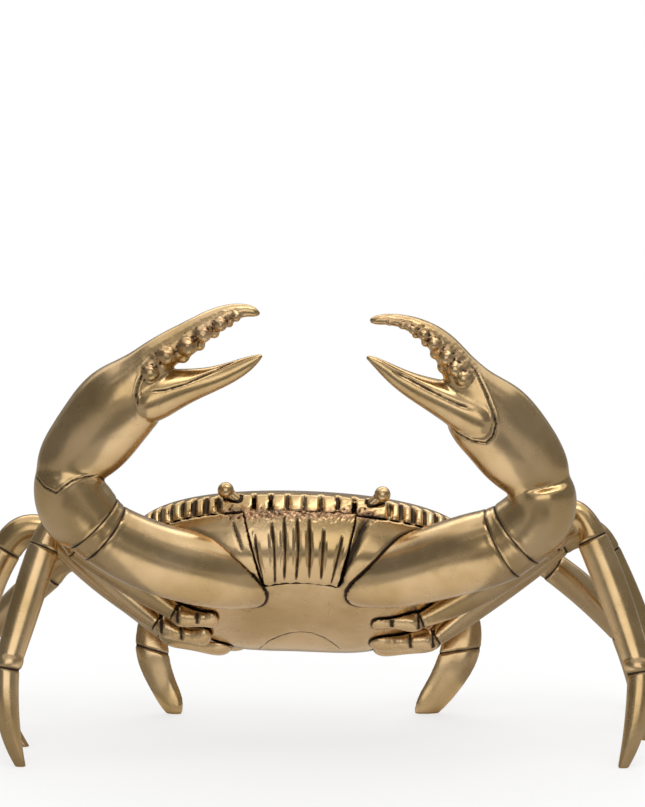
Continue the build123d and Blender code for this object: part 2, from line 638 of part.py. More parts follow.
def body_castings(outer, inner):
    """The two shells parted below the rim, with the mouth plate and both eyes let into them."""
    parting = Plane(body_point(0, 0, -RIM_HEIGHT), x_dir=FORWARD_UP, z_dir=DORSAL)
    shell = outer - inner
    carapace = split(shell, bisect_by=parting, keep=Keep.TOP)
    belly = split(shell, bisect_by=parting, keep=Keep.BOTTOM)
    for cutter in margin_cutters():
        carapace -= cutter
    for side in (-1, 1):
        carapace -= eye(side, FIT)

    everywhere = len(BODY_SLICE_shares)
    proud = body_solid(MOUTH_PROUD, everywhere)
    below = split(proud - inner, bisect_by=parting, keep=Keep.BOTTOM)
    mouth = below & mouth_prism(FIT)
    for flute in flutes(body_solid(MOUTH_PROUD - FLUTE_DEPTH, everywhere)):
        mouth -= flute
    belly -= mouth_prism(0.0)
    belly -= apron_line(body_solid(-APRON_LINE_DEPTH, everywhere))
    return {
        "carapace": carapace,
        "belly_shell": belly,
        "mouth_plate": mouth,
        "left_eye": eye(-1),
        "right_eye": eye(1),
    }


def build():
    outer = body_solid(0.0, len(BODY_SLICE_shares))
    inner = body_solid(-SHELL_WALL, INNER_SLICES)
    clear = body_solid(SEAM, len(BODY_SLICE_shares))
    nodes = body_castings(outer, inner)
    nodes |= claw(
        1, "right", RIGHT_ARM_shares, RIGHT_COLLAR_shares, RIGHT_ELBOW_shares,
        RIGHT_PALM_shares, RIGHT_THUMB_shares, RIGHT_MOLAR_shares, clear,
    )
    nodes |= claw(
        -1, "left", LEFT_ARM_shares, LEFT_COLLAR_shares, LEFT_ELBOW_shares,
        LEFT_PALM_shares, LEFT_THUMB_shares, LEFT_MOLAR_shares, clear,
    )
    for number in (1, 2, 3):
        nodes |= leg(1, "right", number, RIGHT_LEG_shares[number], clear)
        nodes |= leg(-1, "left", number, LEFT_LEG_shares[number], clear)
    nodes |= swimming_leg(1, "right", RIGHT_SWIM_shares, clear)
    nodes |= swimming_leg(-1, "left", LEFT_SWIM_shares, clear)
    return standing(nodes)


def main():
    os.makedirs("parts", exist_ok=True)
    for name, solid in build().items():
        export_step(solid, f"parts/{name}.step")


main()
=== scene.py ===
# %% [markdown]
# # A cast brass crab on a white table
# The real object is a life-size crab of antique brass. Its pieces were cast apart, brazed together and
# rubbed back, so every raised face is satin and every seam keeps a dark patina. The frame holds the pieces
# at their real size. This lesson gives them the skin of a casting: soft edges, cut lines and worn metal.

import math

import bmesh
import bpy
import numpy as np
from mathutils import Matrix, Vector
from mathutils.bvhtree import BVHTree


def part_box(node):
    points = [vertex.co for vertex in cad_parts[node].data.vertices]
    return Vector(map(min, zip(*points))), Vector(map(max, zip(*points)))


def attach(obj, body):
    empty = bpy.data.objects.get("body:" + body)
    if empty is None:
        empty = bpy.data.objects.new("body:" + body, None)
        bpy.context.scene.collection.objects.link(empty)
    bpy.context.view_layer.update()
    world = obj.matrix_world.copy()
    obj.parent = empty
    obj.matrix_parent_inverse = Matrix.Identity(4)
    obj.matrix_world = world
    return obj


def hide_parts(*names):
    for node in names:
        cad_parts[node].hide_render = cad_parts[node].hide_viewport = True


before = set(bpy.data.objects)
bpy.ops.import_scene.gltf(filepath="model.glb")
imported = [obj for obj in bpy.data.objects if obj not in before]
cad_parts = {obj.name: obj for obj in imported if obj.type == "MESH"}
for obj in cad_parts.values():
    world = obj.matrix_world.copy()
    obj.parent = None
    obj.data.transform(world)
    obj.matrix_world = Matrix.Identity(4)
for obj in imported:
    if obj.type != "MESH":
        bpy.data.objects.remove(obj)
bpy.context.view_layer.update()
MM = 0.001

# %% [markdown]
# ## Camera
# The photograph was taken with a long lens, a little above the crab. A camera could be placed by eye, but
# the lines that are cut into the metal later are placed by pixels of the photograph, so the camera is
# written with the numbers that a pixel's ray needs.

# %% Camera
PHOTO_WIDTH, PHOTO_HEIGHT = 645, 807
FOCAL_PX = 2880.0
SENSOR = 36.0
LOOK_DOWN = math.radians(10)
EYE = Vector((7.3, -1756.9, 528.6)) * MM
FORWARD = Vector((0, math.cos(LOOK_DOWN), -math.sin(LOOK_DOWN)))
UPWARD = Vector((0, math.sin(LOOK_DOWN), math.cos(LOOK_DOWN)))

camera_data = bpy.data.cameras.new("photo_camera")
camera_data.sensor_width = SENSOR
camera_data.lens = SENSOR * FOCAL_PX / PHOTO_HEIGHT
camera = bpy.data.objects.new("photo_camera", camera_data)
camera.location = EYE
camera.rotation_euler = (math.pi / 2 - LOOK_DOWN, 0, 0)
bpy.context.scene.collection.objects.link(camera)
bpy.context.scene.camera = camera
bpy.context.scene.view_settings.view_transform = "Standard"


def ray_of(u, v):
    """The way that a pixel of the photograph looks."""
    across, up = (u - PHOTO_WIDTH / 2) / FOCAL_PX, (PHOTO_HEIGHT / 2 - v) / FOCAL_PX
    return (FORWARD + Vector((across, 0, 0)) + UPWARD * up).normalized()


print("lens", round(camera_data.lens, 1), "mm")

# %% [markdown]
# ## Even skins
# A CAD mesh is long thin triangles, which can't be sculpted. A subdivision surface would keep their flow,
# but the pieces have none worth keeping. A voxel remesh gives small even squares all over, and a few
# rounds of smoothing soften every edge as a sand mould does.

# %% Even skins
WELD = MM / 1000
SMOOTHING = 0.5


def merged(name, nodes):
    """One mesh object with the merged triangles of some nodes."""
    mesh = bpy.data.meshes.new(name)
    form = bmesh.new()
    for node in nodes:
        form.from_mesh(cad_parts[node].data)
    bmesh.ops.remove_doubles(form, verts=form.verts, dist=WELD)
    form.to_mesh(mesh)
    form.free()
    piece = bpy.data.objects.new(name, mesh)
    bpy.context.scene.collection.objects.link(piece)
    return piece


def settled(piece):
    """Turns a piece's modifiers into its mesh."""
    bpy.context.view_layer.update()
    seen = piece.evaluated_get(bpy.context.evaluated_depsgraph_get())
    mesh = bpy.data.meshes.new_from_object(seen)
    mesh.name = piece.name
    piece.modifiers.clear()
    piece.data = mesh


def outside_only(piece):
    """Takes away the walls of closed hollows, which nobody sees: they hold a negative volume."""
    form = bmesh.new()
    form.from_mesh(piece.data)
    form.faces.ensure_lookup_table()
    waiting = set(form.faces)
    while waiting:
        island, front = [], [waiting.pop()]
        while front:
            face = front.pop()
            island.append(face)
            for edge in face.edges:
                for other in edge.link_faces:
                    if other in waiting:
                        waiting.remove(other)
                        front.append(other)
        if sum(f.calc_area() * f.normal.dot(f.calc_center_median()) for f in island) < 0:
            bmesh.ops.delete(form, geom=island, context="FACES")
    bmesh.ops.delete(form, geom=[v for v in form.verts if not v.link_faces], context="VERTS")
    form.to_mesh(piece.data)
    form.free()


def skin(name, nodes, voxel, rounds):
    """An even, softened mesh that stands for some nodes."""
    piece = merged(name, nodes)
    even = piece.modifiers.new("even", "REMESH")
    even.mode = "VOXEL"
    even.voxel_size = voxel * MM
    even.use_smooth_shade = True
    settled(piece)
    if len(nodes) > 1:
        outside_only(piece)
    soft = piece.modifiers.new("soft", "SMOOTH")
    soft.factor = SMOOTHING
    soft.iterations = rounds
    settled(piece)
    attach(piece, "root")
    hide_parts(*nodes)
    return piece


# %% [markdown]
# ## Fifteen skins
# Each shell, the mouth plate and each eye have a skin of their own. The castings of one claw or leg share a
# skin, because two skins that only touch let the white room show through the seam. The seams are cut into
# the shared skin later. A voxel is given in millimetres, and is smallest where the photograph is richest.

# %% Make the skins
SHELL_VOXELS = {"carapace": 1.05, "belly_shell": 0.95, "mouth_plate": 0.45}
EYE_VOXEL = 0.4
LEG = ("hip", "thigh", "knee", "shin", "foot")
LIMBS = {
    "claw": (("arm", "collar", "elbow", "palm", "thumb"), 0.83),
    "leg_1": (LEG, 0.7),
    "leg_2": (LEG, 0.7),
    "leg_3": (LEG, 0.7),
    "swimming": (("hip", "thigh", "blade", "paddle"), 0.8),
}
SHELL_ROUNDS, LIMB_ROUNDS = 2, 3

plan = {f"{node}_skin": ([node], voxel, SHELL_ROUNDS) for node, voxel in SHELL_VOXELS.items()}
for side in ("left", "right"):
    plan[f"{side}_eye_skin"] = ([f"{side}_eye"], EYE_VOXEL, LIMB_ROUNDS)
    for limb, (castings, voxel) in LIMBS.items():
        nodes = [f"{side}_{limb}_{casting}" for casting in castings]
        plan[f"{side}_{limb}_skin"] = (nodes, voxel, LIMB_ROUNDS)
pieces = {name: skin(name, *how) for name, how in plan.items()}
print("skins", len(pieces), "squares", {name: len(p.data.polygons) for name, p in pieces.items()})

# %% [markdown]
# ## Points as arrays
# Sculpting by hand moves points with a brush. Here each brush is a sum over all points of a skin, which an
# array does in one line, so a skin's points are read into one, moved, and written back. Two amounts are
# kept for each point from here on: how dark it is with patina and painted shade, and how raw.

# %% Points as arrays
EASE = 0.5


def points_of(piece):
    points = np.empty(len(piece.data.vertices) * 3)
    piece.data.vertices.foreach_get("co", points)
    return points.reshape(-1, 3)


def ways_of(piece):
    """The way that the skin faces at each point."""
    ways = np.empty(len(piece.data.vertices) * 3)
    piece.data.vertex_normals.foreach_get("vector", ways)
    return ways.reshape(-1, 3)


def put(piece, points):
    piece.data.vertices.foreach_set("co", points.ravel())
    piece.data.update()


def eased(piece, points, rounds):
    """Points drawn towards the middle of their neighbours, some rounds over."""
    ends = np.empty(len(piece.data.edges) * 2, np.int32)
    piece.data.edges.foreach_get("vertices", ends)
    a, b, n = ends[0::2], ends[1::2], len(points)
    count = np.maximum(np.bincount(a, minlength=n) + np.bincount(b, minlength=n), 1)[:, None]
    for _ in range(rounds):
        sums = [np.bincount(a, points[b, k], n) + np.bincount(b, points[a, k], n) for k in range(3)]
        points = points + (np.stack(sums, 1) / count - points) * EASE
    return points


def rub(name, rounds, weight):
    """Eases a skin by a weight between 0 and 1 for each point."""
    points = points_of(pieces[name])
    put(pieces[name], points + (eased(pieces[name], points, rounds) - points) * weight[:, None])


def faded(gap, full, none):
    """A weight that is 1 up to one distance in millimetres and 0 from another on."""
    return np.clip((none - gap) / (none - full), 0, 1)


def bell(gap, width):
    """A weight that falls away smoothly over a width."""
    return np.exp(-((gap / width) ** 2))


# How dark each point is: patina in seams, cuts and hollows, and painted shade where parts meet and in the
# hollows
patina_and_shade = {name: np.zeros(len(piece.data.vertices)) for name, piece in pieces.items()}
raw = {name: np.zeros(len(piece.data.vertices)) for name, piece in pieces.items()}
print("points", sum(len(amounts) for amounts in patina_and_shade.values()))

# %% [markdown]
# ## Three shorter hips
# The solids of three hips run further inwards than the photograph shows: there the belly is smooth. Cutting
# them off would leave a flat end, so the last stretch of each is squeezed along X and keeps its round end.
# The seams are searched for on the solids, so these hips are squeezed in the search trees too.

# %% Shorten the hips
# For each leg, where its hip ends on X in the solid and in the photograph, in millimetres
HIP_ENDS = {"left_leg_1": (-48.9, -57.0), "left_leg_2": (-55.1, -61.0), "right_leg_1": (29.7, 37.4)}
HIP_RUN = 17.0


def squeezed(x, leg):
    """Where a point of a leg goes along X, in millimetres, so that its hip ends further out."""
    old, new = HIP_ENDS[leg]
    side = 1 if old > 0 else -1
    outer = side * old + HIP_RUN
    inwards = (outer - side * x) * (outer - side * new) / HIP_RUN
    return np.where(side * x < outer, side * (outer - inwards), x)


def tree_of(mesh, leg=None):
    """A search tree of a mesh, squeezed if it is one of these hips."""
    form = bmesh.new()
    form.from_mesh(mesh)
    if leg in HIP_ENDS:
        for vert in form.verts:
            vert.co.x = float(squeezed(vert.co.x / MM, leg)) * MM
    tree = BVHTree.FromBMesh(form)
    form.free()
    return tree


for leg in HIP_ENDS:
    points = points_of(pieces[f"{leg}_skin"])
    points[:, 0] = squeezed(points[:, 0] / MM, leg) * MM
    put(pieces[f"{leg}_skin"], points)
cad_trees = {node: tree_of(part.data, node.removesuffix("_hip")) for node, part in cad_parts.items()}
print("hips shortened", len(HIP_ENDS), "search trees", len(cad_trees))

# %% [markdown]
# ## Seams, with painted shade beside them
# Each casting ends where the next begins, and brazing leaves a fine dark line there. The line isn't drawn:
# every point is told how far the next piece is, and within a millimetre or two it sinks and darkens. A
# wider darkening that fades away from each seam is painted shade, where the parts meet and shade falls. A
# palm runs into its elbow and its thumb without a step, so those soft seams are rubbed smooth first.

# %% Seams
SEAM_REACH = 5.0
SEAM_WIDTH = 0.9
SEAM_DEPTH = 0.55
# The painted shade beside each seam: how dark it is at the seam, and the millimetres over which it fades
SEAM_SHADE, SEAM_SHADE_REACH = 0.5, 1.8
SAME = 0.01
SOFT_SHARE = 0.25
# Where a weight is full and where it ends, in millimetres from a soft seam, a seam and a thumb
FAIRED, HELD_SEAM, HELD_THUMB = (0.7, 4.2), (1.05, 4.55), (1.5, 4.5)
FAIR_ROUNDS = 14
# The seam of the left arm on the belly is faint in the photograph above this height, in millimetres
FAINT_SKINS = ("belly_shell_skin", "left_claw_skin")
FAINT_LEFT, FAINT_RIGHT, FAINT_ABOVE, FAINT_SHARE = -78, -20, 122, 0.4


def distance_to(points, node):
    """How far each point is from a node, in millimetres, up to the reach of a seam."""
    low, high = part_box(node)
    margin = SEAM_REACH * MM
    near = np.all((points > np.array(low) - margin) & (points < np.array(high) + margin), axis=1)
    found = np.full(len(points), SEAM_REACH)
    tree = cad_trees[node]
    for i in np.flatnonzero(near):
        hit = tree.find_nearest(Vector(points[i]), margin)
        if hit[3] is not None:
            found[i] = hit[3] / MM
    return found


def seam_distances(name):
    """How far each point of a skin is from the next casting, a claw's soft seams and its thumb."""
    own = plan[name][0]
    points = points_of(pieces[name])
    margin = SEAM_REACH * MM
    low, high = points.min(0) - margin, points.max(0) + margin
    other = np.full(len(points), SEAM_REACH)
    mine = {}
    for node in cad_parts:
        corner, far = (np.array(c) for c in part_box(node))
        if node in own:
            mine[node] = distance_to(points, node)
        elif np.all(corner < high) and np.all(far > low):
            other = np.minimum(other, distance_to(points, node))
    if len(own) > 1:
        other = np.minimum(other, np.sort(np.stack(list(mine.values())), axis=0)[1])
    soft = np.full(len(points), SEAM_REACH)
    palm = [node for node in own if node.endswith("palm")]
    for node in own:
        if palm and node.endswith(("elbow", "thumb")):
            soft = np.minimum(soft, np.maximum(mine[palm[0]], mine[node]))
    thumb = [mine[node] for node in own if node.endswith("thumb")]
    return other, soft, thumb[0] if thumb else soft


def sink(name, gap, depth, colour):
    """Lowers a skin along its seams, darkens the seam line and paints shade beside it."""
    fall = bell(gap, SEAM_WIDTH)
    piece = pieces[name]
    put(piece, points_of(piece) - ways_of(piece) * (fall * depth * MM)[:, None])
    patina_and_shade[name] = np.maximum(patina_and_shade[name], fall * colour)
    # Painted shade: a darkening that fades away from the seam, where the parts meet
    patina_and_shade[name] = np.maximum(patina_and_shade[name], SEAM_SHADE * colour * np.exp(-gap / SEAM_SHADE_REACH))


held = {}
for name, piece in pieces.items():
    gap, soft, thumb = seam_distances(name)
    is_soft = soft <= gap + SAME
    held[name] = np.maximum(faded(gap, *HELD_SEAM) * ~is_soft, faded(thumb, *HELD_THUMB))
    if name.endswith("claw_skin"):
        rub(name, FAIR_ROUNDS, faded(soft, *FAIRED))
    share = np.where(is_soft, SOFT_SHARE, 1.0)
    if name in FAINT_SKINS:
        x, _, z = points_of(piece).T / MM
        faint = (x > FAINT_LEFT) & (x < FAINT_RIGHT) & (z > FAINT_ABOVE)
        share = share * np.where(faint, FAINT_SHARE, 1.0)
    # An eye is let into the brow without a groove
    sink(name, gap, SEAM_DEPTH * share * ("eye" not in name), share)
print("seams cut into", len(pieces), "skins")

# %% [markdown]
# ## Waves
# A polished casting is never true: its faces wave a little where the wheel dwelt. A sum of slow sines moves
# the skins by a few hundredths of a millimetre, which is enough to bend what they mirror.

# %% Waves
WAVE_SIZE = 24.0
WAVE_HEIGHT = 0.05
WAVE_SPREAD = (0.7, 1.5)


def waves(points, size, seed, terms=7):
    """A slow waviness between -1 and 1."""
    random = np.random.default_rng(seed)
    total = np.zeros(len(points))
    for _ in range(terms):
        way = random.normal(size=3)
        way *= 2 * math.pi / (np.linalg.norm(way) * size * random.uniform(*WAVE_SPREAD) * MM)
        total += np.sin(points @ way + random.uniform(0, 2 * math.pi))
    return total / terms


for seed, (name, piece) in enumerate(pieces.items()):
    if "eye" not in name and "mouth" not in name:
        points = points_of(piece)
        put(piece, points + ways_of(piece) * (waves(points, WAVE_SIZE, seed) * WAVE_HEIGHT * MM)[:, None])
print("waves of", WAVE_HEIGHT, "mm")

# %% [markdown]
# ## A graver
# The maker cut the thumbs' creases, the flutes of the mouth and the tail flap's edge with a graver. A line
# could be drawn on the skin with a texture, but these are deep enough to catch the light. Each is given as
# pixels of the photograph and dropped on the skin along the camera's ray, so it lies on the metal from any
# side. Its cut is deepest in the middle and runs out at both ends.

# %% A graver
PIXEL_STEP = 1.5
CUT_REACH = 3
STAIN_FALL = 0.7
skin_trees = {}


def seen_at(u, v, names):
    """The nearest place on some skins that a pixel of the photograph shows."""
    best = None
    for name in names:
        if name not in skin_trees:
            skin_trees[name] = tree_of(pieces[name].data)
        hit = skin_trees[name].ray_cast(EYE, ray_of(u, v))
        if hit[0] is not None and (best is None or hit[3] < best[1]):
            best = (hit[0], hit[3])
    return best and best[0]


def dropped(pixels, names):
    """A path on the skins under a line of pixels."""
    path = []
    for (u0, v0), (u1, v1) in zip(pixels, pixels[1:]):
        parts = max(1, round(math.hypot(u1 - u0, v1 - v0) / PIXEL_STEP))
        for i in range(parts + 1):
            place = seen_at(u0 + (u1 - u0) * i / parts, v0 + (v1 - v0) * i / parts, names)
            if place is not None:
                path.append(place)
    return np.array(path)


def along(points, path):
    """For each point: how far it is from a path, in millimetres, and the share of the path's length there."""
    starts, runs = path[:-1], path[1:] - path[:-1]
    lengths = np.linalg.norm(runs, axis=1)
    before = np.concatenate([[0], np.cumsum(lengths)[:-1]])
    gap, share = np.full(len(points), np.inf), np.zeros(len(points))
    for start, run, length, passed in zip(starts, runs, lengths, before):
        if length > 0:
            t = np.clip((points - start) @ run / length**2, 0, 1)
            d = np.linalg.norm(points - start - t[:, None] * run, axis=1)
            nearer = d < gap
            gap[nearer], share[nearer] = d[nearer], (passed + t * length)[nearer]
    return gap / MM, share / lengths.sum()


def gap_to(name, path):
    """How far each point of a skin is from a path, in millimetres."""
    return along(points_of(pieces[name]), path)[0]


def within(points, path, reach):
    """Which points lie in a path's box, with a margin in millimetres."""
    margin = reach * MM
    return np.all((points > path.min(0) - margin) & (points < path.max(0) + margin), axis=1)


def cut(names, path, width, depth, colour, taper=0.12, lip=0.0):
    """Cuts a line of a width and depth in millimetres, with an optional raised lip beside it."""
    for name in names:
        piece = pieces[name]
        points = points_of(piece)
        near = within(points, path, CUT_REACH * width)
        if not near.any():
            continue
        gap, share = along(points[near], path)
        ends = np.clip(np.minimum(share, 1 - share) / taper, 0, 1)
        fall, rise = bell(gap, width / 2) * ends, bell(gap - width, width / 2) * ends
        points[near] -= ways_of(piece)[near] * ((fall * depth - rise * lip) * MM)[:, None]
        put(piece, points)
        patina_and_shade[name][near] = np.maximum(patina_and_shade[name][near], colour * fall**STAIN_FALL)


print("a path point for every", PIXEL_STEP, "pixels")

# %% [markdown]
# ## Rubbed smooth
# Three things are rubbed before any line is cut. The claws are polished away from their teeth, because the
# photograph shows long clean faces there. The solid's own line round the tail flap goes, and so do its
# flutes, so that the cuts below lie where the photograph has them and each is one clean cut.

# %% Rubbed smooth
LEFT_CLAW, RIGHT_CLAW = "left_claw_skin", "right_claw_skin"
BELLY, PLATE, BACK = "belly_shell_skin", "mouth_plate_skin", "carapace_skin"
TEETH = {
    LEFT_CLAW: [(148, 368), (166, 349), (187, 345), (201, 332), (218, 323), (235, 315)],
    RIGHT_CLAW: [(388, 320), (403, 322), (425, 331), (437, 342), (449, 353), (468, 373)],
}
SOLID_FLAP = [
    (272, 651), (276, 646), (284, 640), (292, 637), (303, 635), (315, 637), (325, 640), (334, 646),
    (338, 652),
]
FLUTES = [
    [(254, 533), (258, 560), (264, 588)],
    [(271, 519), (274, 550), (275, 584)],
    [(284, 516), (285, 550), (284, 584)],
    [(297, 515), (298, 550), (296, 582)],
    [(309, 515), (310, 550), (309, 581)],
    [(324, 527), (323, 550), (321, 581)],
    [(343, 534), (338, 558), (331, 585)],
]
TEETH_RANGE, FLAP_RANGE, FLUTE_RANGE = (12, 18), (3, 6), (1.8, 3.6)
POLISH_ROUNDS, FLAP_ROUNDS, FLUTE_ROUNDS = 60, 60, 110

for name, pixels in TEETH.items():
    toothed = faded(gap_to(name, dropped(pixels, [name])), *TEETH_RANGE)
    rub(name, POLISH_ROUNDS, (1 - toothed) * (1 - held[name]))
rub(BELLY, FLAP_ROUNDS, faded(gap_to(BELLY, dropped(SOLID_FLAP, [BELLY])), *FLAP_RANGE))
gap = np.min([gap_to(PLATE, dropped(pixels, [PLATE])) for pixels in FLUTES], axis=0)
rub(PLATE, FLUTE_ROUNDS, faded(gap, *FLUTE_RANGE))
skin_trees.clear()
print("rubbed", len(TEETH), "claws, a flap and", len(FLUTES), "flutes")

# %% [markdown]
# ## Lines cut into the metal
# The lines are read off the photograph. Those at the root of a palm or a thumb are folds, and have a raised
# lip. The short ones at the hips part each hip into blocks.

# %% Lines cut into the metal
# Under each title: the skins, the pixels, the width and depth in millimetres, and how dark it is
CLAW_LINES = {
    "left_palm_root": (
        [LEFT_CLAW],
        [(34, 463), (37, 477), (45, 487), (56, 493), (64, 487), (72, 481), (84, 477), (99, 475)],
        1.1, 0.3, 0.45,
    ),
    "left_elbow_lip": ([LEFT_CLAW], [(99, 476), (108, 484), (117, 492)], 1.5, 0.6, 1.0),
    "left_thumb_crease": (
        [LEFT_CLAW],
        [(144, 392), (166, 390), (186, 384), (211, 372), (231, 363), (246, 356)],
        1.4, 0.6, 0.8,
    ),
    "left_thumb_root": ([LEFT_CLAW], [(142, 374), (138, 385), (136, 395), (138, 407)], 1.3, 0.45, 0.6),
    "right_thumb_crease": (
        [RIGHT_CLAW],
        [(392, 371), (410, 379), (428, 389), (445, 398), (460, 405), (476, 410)],
        2.4, 0.8, 0.7,
    ),
    "right_thumb_root": (
        [RIGHT_CLAW],
        [
            (468, 362), (478, 374), (486, 392), (493, 411), (496, 424), (493, 436), (486, 443), (472, 441),
            (457, 433), (448, 424),
        ],
        1.4, 0.6, 0.7,
    ),
}
HIP_LINES = {
    "right_leg_1_skin": ([(392, 606), (392, 631)], [(419, 606), (419, 630)]),
    "right_leg_2_skin": ([(410, 630), (411, 652)], [(433, 628), (434, 650)]),
    "left_leg_1_skin": ([(197, 606), (197, 625)], [(177, 604), (177, 624)]),
    "left_leg_2_skin": ([(181, 619), (181, 644)], [(161, 613), (161, 640)]),
}
FACE_LINES = {
    "left_cheek": ([BELLY], [(232, 520), (236, 533), (242, 552)], 1.6, 0.7, 0.8),
    "tail_flap": (
        [BELLY],
        [
            (258, 650), (269, 641), (280, 636), (290, 633), (301, 632), (312, 633), (323, 637), (334, 644),
            (343, 651),
        ],
        1.1, 0.4, 0.7,
    ),
    "right_cheek": (
        [BELLY, PLATE], [(369, 517), (360, 536), (351, 556), (342, 576), (339, 590)], 4.6, 1.7, 1.0,
    ),
}
ROOT_LIP = 0.35
HIP_CUT = (2.2, 0.9, 1.0)
OUTER_FLUTE, INNER_FLUTE = (1.25, 0.9, 0.95), (1.35, 1.0, 0.95)

for title, (names, pixels, *how) in CLAW_LINES.items():
    cut(names, dropped(pixels, names), *how, lip=ROOT_LIP if title.endswith("root") else 0.0)
for name, lines in HIP_LINES.items():
    for pixels in lines:
        cut([name], dropped(pixels, [name]), *HIP_CUT)
for number, pixels in enumerate(FLUTES):
    # The first flute runs off the plate on to the belly, and the two outer ones are finer
    names = [PLATE, BELLY] if number == 0 else [PLATE]
    how = OUTER_FLUTE if number in (0, len(FLUTES) - 1) else INNER_FLUTE
    cut(names, dropped(pixels, names), *how)
for names, pixels, *how in FACE_LINES.values():
    cut(names, dropped(pixels, names), *how)
print("lines cut", len(CLAW_LINES) + 2 * len(HIP_LINES) + len(FLUTES) + len(FACE_LINES))

# %% [markdown]
# ## Furrows of the back
# The camera never sees the back. The animal has furrows there, round the stomach and the heart, and they
# are laid by millimetres across and along the body and dropped on the shell from above it. They are worn
# broad and soft, so they are eased once they are cut.

# %% Furrows of the back
BODY_CENTRE = np.array([-5.5, 15.74, 116.5])
FORWARD_UP = np.array([0.0247, -0.7071, 0.7067])
DORSAL = np.array([0.0247, 0.7071, 0.7067])
ACROSS = np.cross(FORWARD_UP, DORSAL)
ABOVE = 90
PARTS = 8
# Under each title: millimetres across and along the body, the width and the depth
FURROWS = {
    "stomach": ([(-12, -6), (-14, 3), (-22, 11), (-34, 16), (-48, 17), (-64, 12)], 11, 1.1),
    "heart": ([(-12, -6), (-15, -16), (-24, -26), (-34, -33)], 10, 1.0),
    "between": ([(-14, -7), (-5, -8.5), (0, -9)], 9, 0.7),
}
FURROW_TAPER = 0.3
FURROW_RANGE, FURROW_ROUNDS = (9, 18), 30
back_tree = tree_of(pieces[BACK].data)


def laid(places, side):
    """A path on the back from places across and along it, on one side of the middle."""
    path = []
    for (a0, f0), (a1, f1) in zip(places, places[1:]):
        for t in np.linspace(0, 1, PARTS):
            across, forward = a0 + (a1 - a0) * t, f0 + (f1 - f0) * t
            over = BODY_CENTRE + ACROSS * side * across + FORWARD_UP * forward + DORSAL * ABOVE
            hit = back_tree.ray_cast(Vector(over * MM), Vector(-DORSAL))
            if hit[0] is not None:
                path.append(hit[0])
    return np.array(path)


furrows = [(laid(places, side), *how) for places, *how in FURROWS.values() for side in (-1, 1)]
for path, width, depth in furrows:
    cut([BACK], path, width, depth, colour=0.0, taper=FURROW_TAPER)
rub(BACK, FURROW_ROUNDS, faded(np.min([gap_to(BACK, path) for path, *_ in furrows], axis=0), *FURROW_RANGE))
print("furrows", len(furrows))

# %% [markdown]
# ## Rough patches
# Where no wheel reached, under the brow, between the teeth of the claws and at the hips, the sand's grain is
# still there and the metal is coppery. Waves of two small sizes make the grain, and how raw each point is
# gets kept for its colour.

# %% Rough patches
# Under each title: the skins, the pixels, the width and the height in millimetres, and how raw it is
ROUGH = {
    "brow": (
        [BACK, BELLY, PLATE],
        [(228, 514), (245, 514), (270, 513), (300, 513), (335, 513), (358, 514), (372, 516)],
        5.0, 0.55, 0.9,
    ),
    "left_teeth": ([LEFT_CLAW], TEETH[LEFT_CLAW], 6.0, 0.3, 0.5),
    "right_teeth": ([RIGHT_CLAW], TEETH[RIGHT_CLAW], 6.0, 0.3, 0.5),
    "left_hips_1": (["left_leg_1_skin"], [(178, 615), (218, 616)], 9.0, 0.1, 0.3),
    "left_hips_2": (["left_leg_2_skin"], [(165, 630), (212, 633)], 9.0, 0.1, 0.3),
    "right_hips_1": (["right_leg_1_skin"], [(374, 619), (419, 619)], 9.0, 0.1, 0.3),
    "right_hips_2": (["right_leg_2_skin"], [(374, 641), (433, 640)], 9.0, 0.1, 0.3),
}
ROUGH_REACH = 2.5
GRAIN_GAIN = 1.5
# The size in millimetres, the first seed and the number of sines of each wave
GRAINS = ((2.6, 100, 12), (5.5, 200, 9))

for seed, (names, pixels, width, height, rawness) in enumerate(ROUGH.values()):
    path = dropped(pixels, names)
    for name in names:
        piece = pieces[name]
        points = points_of(piece)
        near = within(points, path, ROUGH_REACH * width)
        if near.any():
            fall = bell(along(points[near], path)[0], width)
            grain = sum(waves(points[near], size, first + seed, terms) for size, first, terms in GRAINS)
            points[near] += ways_of(piece)[near] * (fall * grain * GRAIN_GAIN * height * MM)[:, None]
            put(piece, points)
            raw[name][near] = np.maximum(raw[name][near], fall * rawness)
print("rough patches", len(ROUGH))

# %% [markdown]
# ## Patina and painted shade
# Liver of sulphur blackens the whole casting, and rubbing takes it off everything that stands proud. So the
# patina stays where a skin is hollow, and the same darkening also paints in the shade that falls into
# hollows and crevices. A hollow is found by easing a copy of the skin: where the eased copy lies outside the
# skin, the skin is hollow there. A few rounds find fine hollows, many find wide ones.

# %% Patina and painted shade in the hollows
# The rounds of easing, the millimetres that a hollow's depth is measured in, and where the darkening begins
HOLLOWS = ((3, 0.05, 0.9), (14, 0.35, 0.4))
# How dark a full hollow gets: patina, and painted shade where shade falls into it
HOLLOW_PATINA_AND_SHADE = 0.9
DARK = 0.5


def hollow(piece, rounds):
    """How far an eased copy of a skin lies outside it, in millimetres."""
    points = points_of(piece)
    return np.einsum("ij,ij->i", eased(piece, points, rounds) - points, ways_of(piece)) / MM


def store(piece, title, values):
    """Keeps a value for each point, where the material can read it."""
    layer = piece.data.attributes.new(title, "FLOAT", "POINT")
    layer.data.foreach_set("value", values.astype(np.float32))


for name, piece in pieces.items():
    for rounds, unit, start in HOLLOWS:
        deep = np.clip(hollow(piece, rounds) / unit - start, 0, 1)
        # Patina and painted shade darken each hollow
        patina_and_shade[name] = np.clip(np.maximum(patina_and_shade[name], HOLLOW_PATINA_AND_SHADE * deep), 0, 1)
    store(piece, "patina_and_shade", patina_and_shade[name])
    store(piece, "raw", raw[name])
print("dark points", sum(int((s > DARK).sum()) for s in patina_and_shade.values()))

# %% [markdown]
# ## Helpers for nodes
# A material is a tree of nodes. Made one by one they hide what the tree says, so a few helpers make a node
# with its constants and links in one line.

